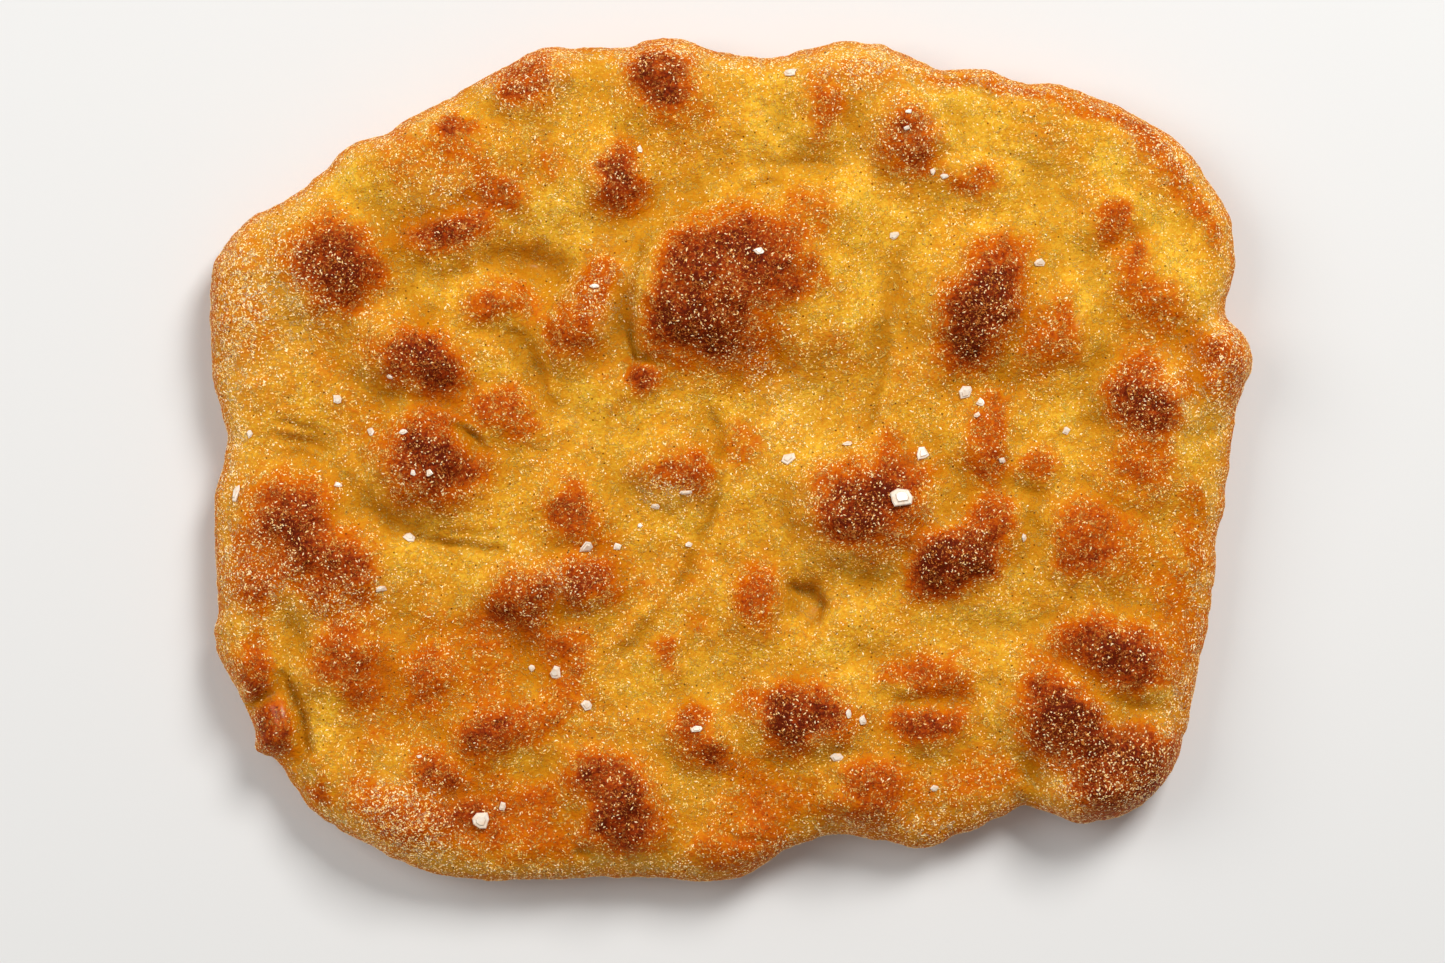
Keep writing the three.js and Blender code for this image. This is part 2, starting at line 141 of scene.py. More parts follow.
# Creases: depth, half width, how much higher the side left of its run is, points.
CREASES = [
    (0.8, 1.6, 3.2, [(-6, 75), (-17, 69), (-25, 60), (-28, 48), (-28.5, 38), (-27, 31), (-20, 26)]),
    (3.0, 1.3, 0, [(-28.5, 40), (-28, 34), (-26, 29.5), (-23, 27.5)]),
    (2.2, 5.0, 0, [(-68, 43), (-60, 34), (-54, 22), (-49, 9)]),
    (2.4, 4.5, 0, [(-72, 60), (-61, 57), (-50, 54), (-42, 50)]),
    (1.2, 1.5, 0.8, [(-63, 37), (-58, 31), (-53, 20), (-50, 12)]),
    (-1.8, 3.5, 0, [(-84, 42), (-72, 34), (-64, 24), (-56, 12)]),
    (1.2, 3.6, 1.2, [(63, 74), (55, 67), (49, 56), (46, 44), (43.5, 32), (41, 22), (39, 10), (35, 4)]),
    (2.2, 1.2, 0.8, [(46, 36), (44.5, 29), (43, 21), (41.5, 15), (40, 10), (38, 6), (33, 4)]),
    (3.0, 1.7, 2.4, [(16, -36.5), (24, -37.5), (27, -41.5), (25.5, -45), (22, -49)]),
    (2.6, 1.4, 1.6, [(-80, 10), (-74, 7), (-69, 2)]),
    (1.3, 3.6, 0, [(-106, -12), (-98, -17), (-88, -21), (-78, -23)]),
    (1.4, 1.1, 1.2, [(-99, -18), (-90, -23), (-78, -24.5), (-66, -26), (-56, -29)]),
    (0.8, 1.0, 0.6, [(-84, -20), (-74, -21.5), (-64, -21)]),
    (1.6, 3.0, 0, [(-3, -12), (-8, -24), (-13, -36), (-22, -48), (-38, -60)]),
    (1.5, 1.5, 1.2, [(-3, -10), (-6, -18), (-10, -25)]),
    (1.4, 1.5, 1.2, [(-10, -26), (-12.5, -32), (-16, -39)]),
    (0.8, 4.0, 0, [(58, 100), (72, 92), (85, 85), (96, 77), (101, 66), (104, 50), (105, 32)]),
    (0.7, 1.0, 0.5, [(72, 88), (82, 86), (90, 82)]),
    (3.2, 2.0, 2.0, [(-129, -60), (-125, -66), (-122, -75), (-121, -84), (-124, -90)]),
    (2.0, 1.3, 1.0, [(-146, -71), (-137, -70), (-130, -67)]),
    (1.1, 1.0, 0, [(-133, 7), (-124, 4.5), (-115, 3)]),
    (0.9, 1.0, 0, [(-131, 11), (-124, 9), (-117, 8)]),
    (0.9, 1.0, 0, [(-131, 2), (-123, 1), (-117, 0)]),
    (0.7, 1.0, 0, [(4, 83), (15, 84.5), (35, 84)]),
    (-1.5, 2.2, 0, [(-21, -41), (-30, -50), (-39, -59)]),
    (-1.2, 1.8, 0, [(-11, -35), (-16, -42), (-21, -49)]),
    (1.6, 1.6, 0, [(-5, -106), (5, -109), (12, -110)]),
    (1.4, 1.5, 0, [(-45, -113), (-38, -112)]),
    (1.6, 1.6, 0, [(58, 111), (68, 107), (78, 103)]),
    (1.2, 1.9, 1.2, [(-8, 20), (-5, 14), (-3, 7), (-3, -4), (-4, -13)]),
    (1.4, 1.2, 0, [(0, 76), (8, 78), (15, 79)]),
]

# Browned spots: x, y, half length, half width, turn in degrees, darkness from 0 to 1.
BROWNED = [
    (-58, 109, 9, 8, 0, 0.7), (-79, 96, 5, 3.5, 0, 0.75), (-66, 77, 7, 5, -20, 0.75),
    (-84, 65, 8, 5, 15, 0.8), (-37, 57, 5, 6, 0, 0.4), (-74, 68, 7, 5, 30, 0.5),
    (-114, 55, 11, 12, 0, 0.9), (-105, 52, 8, 7, 0, 0.5), (-20, 112, 9, 9, 0, 0.85),
    (-19, 104, 7, 6, 0, 0.7), (-32.5, 80, 6, 7, 0, 0.9), (-30, 88, 5, 4, 0, 0.35),
    (-26, 76, 5, 4, 0, 0.45), (-72, 45, 6, 5, 0, 0.6), (-62, 46, 7, 6, -30, 0.45),
    (-44, 38, 8, 9, 0, 0.6), (-38, 48, 7, 5, 60, 0.45), (-25, 23, 4.5, 4, 0, 0.75),
    (-4, 49, 20, 15, 25, 0.8), (3, 62, 11, 7, 15, 0.8), (-14, 40, 10, 7, 10, 0.75),
    (-3, 38, 9, 7, 0, 0.6), (14, 53, 9, 5, -10, 0.8), (-12, 59, 8, 6, 40, 0.7),
    (-20, 42, 5, 7, 0, 0.4), (21, 67, 11, 8, 30, 0.3), (25, 99, 6, 9, 0, 0.55),
    (51, 91, 9, 9, 0, 0.7), (53, 95, 5, 5, 0, 0.4), (54, 85, 6, 4, 0, 0.45),
    (36, 111, 12, 5, 0, 0.2), (71, 79, 9, 4, 0, 0.7), (76, 61, 6, 4, 0, 0.4),
    (70, 44, 9, 12, -30, 1.0), (77, 48, 9, 11, 0, 0.5), (84, 62, 5, 4, 0, 0.4),
    (67, 34, 7, 6, 0, 0.6), (92, 36, 10, 9, 0, 0.45), (107, 68, 7, 7, 0, 0.7),
    (114, 72, 4, 3, 0, 0.45), (117, 61, 3, 6, -20, 0.4), (121, 45, 22, 8, -50, 0.3),
    (117.5, 15, 9, 8, -30, 0.95), (116, 27, 6, 5, 0, 0.4), (146, 28, 6, 12, 0, 0.5),
    (136, 32, 6, 6, 0, 0.5), (134, 22, 6, 6, 0, 0.4), (117, -1, 9, 9, 0, 0.4),
    (88, -3, 5, 4.5, 0, 0.55), (72, -2, 7, 6, 0, 0.55), (75, 10, 6, 8, 0, 0.5),
    (36, -14, 14, 11, 0, 0.95), (46, -10, 8, 11, 0, 0.6), (47, 3, 7, 5, 0, 0.45),
    (61, -28, 10, 8, 20, 1.0), (55, -35, 7, 5, 0, 0.35), (76, -18, 8, 11, -20, 0.5),
    (102, -22, 13, 11, 0, 0.5), (97, -29, 8, 5, 0, 0.2), (8, -34, 6, 5, 0, 0.25),
    (111, -57, 14, 8, -25, 0.95), (103, -51, 9, 6, 0, 0.4), (96, -75, 13, 9, -20, 1.0),
    (87, -67, 6, 5, 0, 0.35), (113, -90, 20, 16, 0, 0.85), (52, -61, 12, 5.5, 0, 0.62),
    (64, -66, 6, 4, 0, 0.4), (55, -75, 12, 5.5, 0, 0.8), (50, -89, 6, 5, 0, 0.35),
    (91, -57, 6, 4, 0, 0.35), (19, -72, 14, 8, 0, 0.9), (12, -79, 7, 5, 0, 0.4),
    (29, -77, 6, 6, 0, 0.3), (-12, -76, 5, 6, 0, 0.6), (-6, -85, 6, 5, 0, 0.65),
    (8, -40, 5.5, 8, 0, 0.55), (3, -51, 4, 4, 0, 0.15), (-18, -57, 4, 5, 0, 0.5),
    (-10, -47, 4, 4, 0, 0.3), (-59, -36, 9, 7, 0, 0.8), (-69, -45, 6, 4, 0, 0.4),
    (54, -2, 7, 5, 0, 0.45), (69, -29, 8, 8, 0, 0.55), (-43, -35, 7, 6, 0, 0.7),
    (-33, -38, 5, 5, 0, 0.35), (-37, -28, 6, 8, 0, 0.4), (-45, -15, 6, 9, 0, 0.65),
    (-60, -49, 12, 8, 0, 0.45), (-47, -60, 7, 10, 0, 0.4), (-58, -74, 9, 7, 0, 0.4),
    (-19, -3, 9, 5, 0, 0.6), (-9, -4, 5, 8, 0, 0.5), (3, 3, 5, 7, 0, 0.3),
    (-88, 28, 13, 9, -25, 0.85), (-66, 15, 8, 6, 0, 0.45), (-60, 9, 5, 4, 0, 0.4),
    (-86, -2, 11, 9, 0, 0.9), (-92, 6, 9, 7, 0, 0.4), (-84, 14, 6, 5, 0, 0.45),
    (-76, -3, 7, 6, 0, 0.5), (-123, -16, 10, 9, 0, 0.62), (-114, -32, 13, 9, 15, 0.6),
    (-130, -28, 15, 19, 0, 0.55), (-116, -55, 8, 9, 0, 0.45), (-105, -62, 10, 9, 0, 0.45),
    (-86, -65, 7, 6, 0, 0.3), (-86, -56, 6, 5, 0, 0.25), (-70, -79, 8, 6, 30, 0.5),
    (-85, -91, 7, 5, -30, 0.4), (-37, -92, 13, 8, 0, 0.9), (-29, -103, 9, 9, 0, 0.95),
    (-138, -61, 7, 10, 10, 0.62), (-133, -76, 8, 11, 15, 0.7), (41, -93, 9, 10, 0, 0.5),
    (34, -103, 8, 5, 0, 0.15), (12, -98, 12, 6, 0, 0.5), (72, -90, 11, 8, 0, 0.35),
    (0, -116, 12, 5, 0, 0.3), (10, -108, 8, 4, 0, 0.3), (5, -88, 8, 5, 0, 0.3),
    (-103, -97, 8, 7, 0, 0.3), (-95, -105, 10, 8, 0, 0.4), (124, -38, 6, 9, 0, 0.35),
    (132, -52, 6, 16, 0, 0.35), (-118, -97, 5, 4, -45, 0.7), (-95, 64, 6, 6, 0, 0.35),
    (-78, 86, 8, 5, 0, 0.25), (-55, 84, 8, 6, 0, 0.3), (66, 110, 9, 4, -5, 0.45),
    (84, 107, 10, 4, -8, 0.45), (102, 102, 10, 4.5, -20, 0.45), (118, 93, 10, 5, -40, 0.5),
    (131, 79, 10, 5, -60, 0.5), (139, 64, 8, 4, -80, 0.45), (122, 80, 8, 4, -55, 0.1),
    (95, 86, 15, 6, -55, 0.15), (-84, -88, 8, 6, -30, 0.25), (-72, -101, 9, 7, 0, 0.3),
    (-28, 73, 6, 4, 0, 0.4), (-11, 99, 7, 9, 0, 0.2), (44, 85, 5, 5, 0, 0.45),
    (-36, 29, 7, 5, 20, 0.2), (0, 31, 9, 5, 0, 0.4), (-106, 12, 6, 8, 0, 0.3),
    (-86, -12, 6, 4, 0, 0.4), (70, -34, 7, 4, 0, 0.4), (134, -20, 5, 16, 0, 0.35),
    (-95, 88, 8, 8, 0, 0.12), (-112, 30, 8, 8, 0, 0.2), (-128, 60, 10, 8, 0, 0.08),
]

# Broad toasted zones: the same columns.
TOASTED = [
    (-80, 82, 20, 18, 0, 0.2), (-142, 48, 14, 26, 0, 0.3), (-82, -72, 36, 36, 0, 0.35),
    (-118, -28, 24, 26, 0, 0.3), (38, 109, 18, 9, 0, 0.15), (-20, 108, 14, 16, 0, 0.12),
    (-58, 108, 16, 12, 0, 0.2), (118, 40, 14, 16, 0, 0.2), (118, 0, 16, 18, 0, 0.2),
    (108, -28, 20, 16, 0, 0.2), (107, -78, 24, 28, 0, 0.34), (50, -102, 28, 12, 0, 0.35),
    (0, -110, 24, 12, 0, 0.3), (10, -85, 20, 12, 0, 0.2), (75, 38, 20, 22, 0, 0.25),
    (64, -22, 16, 18, 0, 0.2), (-88, 8, 18, 22, 0, 0.15), (-60, -104, 34, 14, 0, 0.5),
    (-45, -45, 22, 24, 0, 0.15), (-125, 25, 20, 26, 0, 0.05), (-20, 24, 9, 8, 0, 0.25),
    (-32, -82, 12, 14, 0, 0.2), (2, 29, 22, 10, 0, 0.4), (65, 25, 20, 14, 0, 0.12),
    (-70, 10, 16, 14, 0, 0.12), (115, 20, 12, 12, 0, 0.15), (-20, -32, 14, 10, 0, 0.2),
    (115, -48, 25, 6, 0, 0.25), (30, 28, 18, 8, 0, 0.12),
]

# Yellow parts that the heat hardly browned, some of them also painted highlight that lightens ridges and
# shaded slopes: the same columns, and how far they stay unbrowned.
UNBROWNED_AND_HIGHLIGHTS = [
    (30, 84, 14, 7, 10, 0.8), (13, 97, 10, 15, 0, 0.9), (67, 97, 13, 9, 0, 1.0),
    (87, 81, 16, 9, -20, 0.9), (101, 62, 7, 10, 0, 0.75), (115, 75, 24, 4.5, -55, 0.8),
    (131, 56, 8, 12, 20, 0.85), (82, 69, 7, 6, 0, 0.7), (44, -68, 8, 4, 0, 0.6),
    (-64, 88, 7, 5, 0, 0.4), (46, 58, 14, 16, 0, 0.8), (37, 74, 8, 6, 0, 0.7),
    (38, 42, 6, 14, 0, 0.4), (21, 11, 10, 13, 0, 0.75), (-40, 13, 13, 9, -15, 0.55),
    (-34, -5, 6, 6, 0, 0.45), (-5, 15, 6, 4, 0, 0.45), (-64, 25, 6, 4, 0, 0.5),
    (-104, -12, 7, 8, 0, 0.45), (-94, -26, 8, 9, 0, 0.65), (-70, -29, 15, 7, 0, 0.65),
    (-124, -49, 6, 14, 5, 0.75), (-25, 44, 3, 9, 0, 0.6), (-42, 76, 5, 6, 0, 0.5),
    (-104, 72, 5, 7, 0, 0.5), (-104, 12, 8, 10, 0, 0.1), (-126, 42, 6, 7, 0, 0.5),
    (-115, -78, 6, 10, 0, 0.45), (-97, -86, 6, 6, 0, 0.45), (-82, 48, 10, 7, 0, 0.55),
    (-107, 78, 7, 10, 25, 0.9), (-50, 70, 12, 11, 0, 0.75), (-7, 78, 14, 5, 15, 0.6),
    (-6, -63, 8, 7, 0, 0.75), (4, -79, 5, 6, 0, 0.6), (-54, -88, 9, 5, 0, 0.55),
    (-26, -62, 7, 8, 0, 0.5), (30, -54, 11, 9, 0, 0.65), (19, -29, 8, 9, 0, 0.45),
    (86, -18, 5, 13, 0, 0.6), (60, -13, 6, 6, 0, 0.6), (21, -11, 5, 8, 0, 0.4),
    (84, -12, 4, 6, 0, 0.4), (99, 10, 9, 10, 0, 0.65), (115, -72, 14, 4, -15, 0.5),
    (92, -95, 6, 6, 0, 0.5), (104, 47, 6, 13, 0, 0.8), (132, 5, 7, 10, 0, 0.7),
    (-72, 106, 6, 7, 0, 0.5), (-100, 38, 7, 5, 0, 0.3), (-18, -22, 8, 8, 0, 0.35),
    (106, -38, 8, 4, 0, 0.3), (75, -47, 14, 5, 10, 0.5), (-24, 57, 3, 10, -10, 0.5),
    (-45, 105, 6, 10, 0, 0.4), (-46, 52, 6, 10, 0, 0.5), (-90, 48, 6, 6, 0, 0.4),
    (90, 50, 8, 8, 0, 0.4), (122, -68, 6, 5, 0, 0.6), (-72, -33, 6, 8, 0, 0.5),
    (-141, -52, 5, 8, 0, 0.5), (-117, -70, 5, 5, 0, 0.5), (-58, -67, 5, 5, 0, 0.5),
    (-46, -98, 6, 6, 0, 0.4), (-92, -82, 4, 7, 0, 0.4),
]

# Semolina: x, y, half length, half width, turn in degrees, how thickly it lies from 0 to 1; less
# than 0 where it has fallen off.
SEMOLINA = [
    (-140, 48, 18, 22, 0, 0.65), (-135, -30, 16, 20, 0, 0.6), (-110, -40, 12, 8, 0, 0.5),
    (-93, -107, 18, 12, 0, 0.7), (113, -93, 20, 13, 0, 0.85), (55, -106, 16, 8, 0, 0.5),
    (-20, 115, 12, 7, 0, 0.6), (38, 112, 16, 9, 0, 0.6), (141, 28, 12, 16, 0, 0.6),
    (-4, 49, 20, 15, 25, 0.35), (72, 42, 14, 14, 0, 0.35), (-38, 46, 8, 8, 0, 0.45),
    (-116, 50, 14, 14, 0, 0.3), (36, -13, 16, 13, 0, 0.4), (96, -76, 14, 11, 0, 0.3),
    (-18, -9, 9, 5, 0, 0.6), (-44, -34, 7, 6, 0, 0.6), (2, 31, 9, 5, 0, 0.4),
    (112, -56, 14, 9, 0, 0.3), (20, -74, 15, 9, 0, 0.3), (-30, -98, 12, 12, 0, 0.3),
    (-90, 28, 12, 9, 0, 0.25), (-88, -2, 12, 12, 0, 0.3), (120, 15, 14, 14, 0, 0.35),
    (-52, -37, 18, 9, 0, 0.3), (64, -26, 14, 10, 0, 0.35), (-58, 108, 12, 10, 0, 0.4),
    (50, 92, 12, 12, 0, 0.3), (-34, 80, 8, 8, 0, 0.35), (-80, 72, 18, 12, 0, 0.3),
    (8, 26, 9, 4, 0, 0.4), (18, 14, 10, 11, 0, 0.3), (-144, 16, 8, 22, 0, 0.35),
    (134, -40, 8, 24, 0, 0.25), (126, 90, 14, 10, -45, 0.45), (134, -72, 8, 10, 0, 0.5),
    (80, 108, 16, 5, -5, 0.45), (-96, -104, 12, 8, -30, 0.5), (-134, -72, 8, 16, 15, -0.12),
    (-55, 58, 13, 10, 0, -0.08), (-110, 78, 6, 10, 25, -0.09), (8, 100, 8, 10, 0, -0.07),
    (-92, -18, 14, 5, -10, -0.09), (-36, 12, 14, 10, 0, -0.05), (28, -42, 12, 8, 0, -0.06),
    (69, 98, 9, 7, 0, -0.07), (104, 40, 5, 14, 0, -0.06),
]


# --- Shape ------------------------------------------------------------------------------------


def smooth_step(t):
    """A blend from 0 to 1 as t goes from 0 to 1: three times t squared less twice t cubed."""
    t = np.clip(t, 0.0, 1.0)
    return t * t * (3.0 - 2.0 * t)


def lattice_noise(x, y, wavelength, seed):
    """Noise from -1 to 1: seeded values on a square lattice, blended smoothly between its points."""
    values = np.random.default_rng(seed).uniform(-1.0, 1.0, (LATTICE, LATTICE))
    turned = seed * 0.7
    u = (x * math.cos(turned) - y * math.sin(turned)) / wavelength
    v = (x * math.sin(turned) + y * math.cos(turned)) / wavelength
    i, j = np.floor(u).astype(int), np.floor(v).astype(int)
    s, t = smooth_step(u - i), smooth_step(v - j)
    near_i, near_j = i % LATTICE, j % LATTICE
    far_i, far_j = (i + 1) % LATTICE, (j + 1) % LATTICE
    low = values[near_i, near_j] * (1 - s) + values[far_i, near_j] * s
    high = values[near_i, far_j] * (1 - s) + values[far_i, far_j] * s
    return low * (1 - t) + high * t


def layered_noise(x, y, wavelength, seed, layers=3):
    """Lattice noise added up in layers, each half the wavelength and half the height of the last."""
    return sum(
        lattice_noise(x, y, wavelength / 2**k, seed + 17 * k) / 2**k for k in range(layers)
    )


def oval_distance(x, y, cx, cy, half_length, half_width, turn):
    """Distance from an oval's middle, in units of its half sizes, after undoing its turn."""
    a = math.radians(turn)
    along = ((x - cx) * math.cos(a) + (y - cy) * math.sin(a)) / half_length
    across = ((y - cy) * math.cos(a) - (x - cx) * math.sin(a)) / half_width
    return np.hypot(along, across)


def nearest_on_line(x, y, points):
    """Distance to a bent line, which side of it a point is on, and how far along it is nearest."""
    nearest = np.full(np.shape(x), 1e9)
    side, place = np.zeros(np.shape(x)), np.zeros(np.shape(x))
    for k in range(len(points) - 1):
        (x0, y0), (x1, y1) = points[k], points[k + 1]
        dx, dy = x1 - x0, y1 - y0
        t = np.clip(((x - x0) * dx + (y - y0) * dy) / (dx * dx + dy * dy), 0.0, 1.0)
        distance = np.hypot(x - x0 - t * dx, y - y0 - t * dy)
        closer = distance < nearest
        nearest = np.where(closer, distance, nearest)
        side = np.where(closer, np.sign((y - y0) * dx - (x - x0) * dy), side)
        place = np.where(closer, (k + t) / (len(points) - 1), place)
    return nearest, side, place


def crease_height(x, y, depth, half_width, step, points):
    """A groove along a bent line, shallower at its ends, and a step up to its left that fades."""
    nearest, side, place = nearest_on_line(x, y, points)
    fade = np.sqrt(np.sin(np.pi * place))
    groove = depth * np.exp(-((nearest / half_width) ** 2))
    lift = step * side * (1 - np.exp(-nearest / STEP_RUN)) * np.exp(-nearest / STEP_FADE)
    return fade * (lift - groove)


def painted_crease_shade(x, y):
    """How deep in a crease each point is, as a share of painted shade from 0 to 1: a bell across each
    crease, fading at its ends.
    """
    depth = np.zeros(np.shape(x))
    for groove, half_width, step, line in CREASES:
        nearest, _, place = nearest_on_line(x, y, line)
        bell = np.exp(-((nearest / (0.6 * half_width)) ** 2)) * np.sqrt(np.sin(np.pi * place))
        depth = np.maximum(depth, bell * min(1.0, (groove + step) / DEEPEST_CREASE))
    return depth


def crust_height(x, y):
    """Height of the crust before the rim is rounded: puffs, less dimples, creases and fine unevenness.

    Puffs are bell shapes joined as the root of a sum of powers, so that each keeps its own top.
    """
    wx = x + 1.6 * layered_noise(x, y, 14.0, 3)
    wy = y + 1.6 * layered_noise(x, y, 14.0, 4)
    puffs = sum(
        (puff[5] * np.exp(-oval_distance(wx, wy, *puff[:5]) ** PUFF_POWER)) ** PUFF_BLEND
        for puff in PUFFS
    ) ** (1 / PUFF_BLEND)
    dimples = sum(d[5] * np.exp(-oval_distance(wx, wy, *d[:5]) ** 2) for d in DIMPLES)
    lx = x + 0.7 * layered_noise(x, y, 5.0, 5)
    ly = y + 0.7 * layered_noise(x, y, 5.0, 6)
    creases = sum(crease_height(lx, ly, *crease) for crease in CREASES)
    uneven = 1.1 * layered_noise(x, y, 16.0, 7) + 0.4 * layered_noise(x, y, 5.0, 8)
    return CRUST_HEIGHT + puffs - dimples + creases + uneven


def rim_points(share):
    """Points at these shares of the outline's length, on a smooth curve through it with fine bumps."""
    before, after = np.roll(OUTLINE, 1, 0), np.roll(OUTLINE, -1, 0)
    beyond = np.roll(OUTLINE, -2, 0)
    t = np.linspace(0, 1, CURVE_STEPS, endpoint=False)[None, :, None]
    curve = 0.5 * (
        2 * OUTLINE[:, None]
        + (after - before)[:, None] * t
        + (2 * before - 5 * OUTLINE + 4 * after - beyond)[:, None] * t**2
        + (3 * OUTLINE - before - 3 * after + beyond)[:, None] * t**3
    ).reshape(-1, 2)
    curve = np.vstack([curve, curve[:1]])
    length = np.concatenate([[0], np.cumsum(np.hypot(*np.diff(curve, axis=0).T))])
    at = (share % 1.0) * length[-1]
    x, y = np.interp(at, length, curve[:, 0]), np.interp(at, length, curve[:, 1])
    outward = 1 + 0.5 * layered_noise(x, y, 6.0, 9) / np.hypot(x, y)
    return x * outward, y * outward


def square_grid():
    """Row, column, ring and share of the way round for each point of the grid laid over the loaf."""
    row, column = np.mgrid[-RINGS : RINGS + 1, -RINGS : RINGS + 1]
    ring = np.maximum(np.abs(row), np.abs(column))
    step = np.select(
        [column == ring, row == ring, column == -ring],
        [row + ring, 3 * ring - column, 5 * ring - row],
        7 * ring + column,
    )
    return row, column, ring, step / np.maximum(8 * ring, 1) + CORNER_TURN


def rim_rounding(reach, rim_distance):
    """Share of the crust's full height above the widest line: a quarter ellipse near the rim."""
    inward = np.clip((1 - reach) * rim_distance / RIM_ROUNDING, 0, 1)
    return np.sqrt(1 - (1 - inward) ** 2)


def top_height(x, y, rounding):
    """The crust's height, brought down to the widest line by the rim's rounding."""
    return WIDEST_HEIGHT + (crust_height(x, y) - WIDEST_HEIGHT) * rounding


def loaf_mesh():
    """Points and faces of the whole loaf, and how far its rim and side have dropped at each point.

    It is a domed top grid, side rings and a flat underside.
    """
    row, column, ring, turn = square_grid()
    u = ring / RINGS
    reach = (1 + OUTER_RINGS) * u - OUTER_RINGS * u**9
    rim_x, rim_y = rim_points(turn)
    x, y = rim_x * reach, rim_y * reach
    rounding = rim_rounding(reach, np.hypot(rim_x, rim_y))
    z = top_height(x, y, rounding)
    width = 2 * RINGS + 1
    points = [np.stack([x, y, z], -1).reshape(-1, 3)]
    drops = [((CRUST_HEIGHT - WIDEST_HEIGHT) * (1 - rounding)).ravel()]
    index = np.arange(width * width).reshape(width, width)
    a, b, c, d = index[:-1, :-1], index[:-1, 1:], index[1:, 1:], index[1:, :-1]
    leaning = (row[:-1, :-1] < 0) == (column[:-1, :-1] < 0)
    first = np.where(leaning[..., None], np.stack([a, b, c], -1), np.stack([a, b, d], -1))
    second = np.where(leaning[..., None], np.stack([a, c, d], -1), np.stack([b, c, d], -1))
    faces = [first.reshape(-1, 3), second.reshape(-1, 3)]
    rim = np.concatenate([index[0, :-1], index[:-1, -1], index[-1, :0:-1], index[:0:-1, 0]])
    rim_point = points[0][rim]
    radius = np.hypot(rim_point[:, 0], rim_point[:, 1])
    above, count = rim, width * width
    for height in SIDE_HEIGHTS:
        tuck = UNDERCUT * (1 - math.sqrt(1 - (1 - height / WIDEST_HEIGHT) ** 2))
        lump = layered_noise(rim_point[:, 0] + 2 * height, rim_point[:, 1] + height, 6.0, 10)
        inward = 1 - (tuck + 0.6 * lump * (1 - height / WIDEST_HEIGHT)) / radius
        level = np.full(len(rim), height)
        points.append(np.stack([rim_point[:, 0] * inward, rim_point[:, 1] * inward, level], -1))
        drops.append(CRUST_HEIGHT - level)
        below = count + np.arange(len(rim))
        count += len(rim)
        above_next, below_next = np.roll(above, -1), np.roll(below, -1)
        faces.append(np.stack([above_next, above, below], -1))
        faces.append(np.stack([above_next, below, below_next], -1))
        above = below
    points.append(np.zeros((1, 3)))
    drops.append([CRUST_HEIGHT])
    faces.append(np.stack([np.full(len(rim), count), np.roll(above, -1), above], -1))
    return np.vstack(points), np.vstack(faces), np.concatenate(drops)


def spread_out(points, drop):
    """Where each point's pattern is read: pushed outward by its drop, so none smears down the side."""
    outward = 1 + SIDE_SPREAD * drop / np.maximum(np.hypot(points[:, 0], points[:, 1]), 1.0)
    return points[:, 0] * outward, points[:, 1] * outward


def hollowness(points):
    """How far the crust, its rim not rounded, lies below its mean round each point; 0 on the side."""
    width = 2 * RINGS + 1
    top = points[: width * width]
    height = crust_height(top[:, 0], top[:, 1]).reshape(width, width)
    mean = np.pad(height, 1, mode="edge")
    for _ in range(HOLLOW_PASSES):
        mean[1:-1, 1:-1] = (mean[:-2, 1:-1] + mean[2:, 1:-1] + mean[1:-1, :-2] + mean[1:-1, 2:]) / 4
    found = np.zeros(len(points))
    found[: width * width] = (mean[1:-1, 1:-1] - height).ravel()
    return found


def add_mesh(name, points, faces, smooth=True):
    """A mesh object from whole arrays of points, in millimetres, and triangles."""
    mesh = bpy.data.meshes.new(name)
    mesh.vertices.add(len(points))
    mesh.vertices.foreach_set("co", (points * MM).astype(np.float32).ravel())
    mesh.loops.add(faces.size)
    mesh.loops.foreach_set("vertex_index", faces.astype(np.int32).ravel())
    mesh.polygons.add(len(faces))
    mesh.polygons.foreach_set("loop_start", np.arange(0, faces.size, 3, dtype=np.int32))
    mesh.polygons.foreach_set("use_smooth", np.full(len(faces), smooth))
    mesh.update(calc_edges=True)
    mesh.validate()
    piece = bpy.data.objects.new(name, mesh)
    bpy.context.scene.collection.objects.link(piece)
    return piece


def add_attribute(piece, name, values):
    """A number for each point of a piece, for its material to read."""
    layer = piece.data.attributes.new(name, "FLOAT", "POINT")
    layer.data.foreach_set("value", values.astype(np.float32))


# --- Where the crust is browned and dusted ----------------------------------------------------


def browning(x, y):
    """How browned the crust is, 0 to 1: soft toasted zones, then spots with dark middles and halos."""
    wx = x + 2.1 * layered_noise(x, y, 8.0, 21)
    wy = y + 2.1 * layered_noise(x, y, 8.0, 22)
    unbrowned = np.full(np.shape(x), 1 - BASE_BROWNING)
    for spot in TOASTED:
        unbrowned *= 1 - spot[5] * np.exp(-oval_distance(wx, wy, *spot[:5]) ** 4)
    for spot in BROWNED:
        q = oval_distance(wx, wy, *spot[:5])
        core = CORE_BROWNING * spot[5] * (1 - smooth_step((q - 0.5) / 0.65))
        halo = HALO_BROWNING * spot[5] * (1 - smooth_step((q - 0.85) / 0.95))
        unbrowned *= (1 - core) * (1 - halo)
    brown = 1 - unbrowned
    # Unbrowned places, some of them painted highlight on ridges and shaded slopes.
    for spot in UNBROWNED_AND_HIGHLIGHTS:
        brown *= 1 - spot[5] * np.exp(-oval_distance(wx, wy, *spot[:5]) ** 2.5)
    patchy = 0.07 * layered_noise(x, y, 7.0, 23) + 0.09 * layered_noise(x, y, 2.8, 24)
    return np.clip(brown + patchy * (0.75 + 0.5 * brown * (1 - brown)), 0, 1)


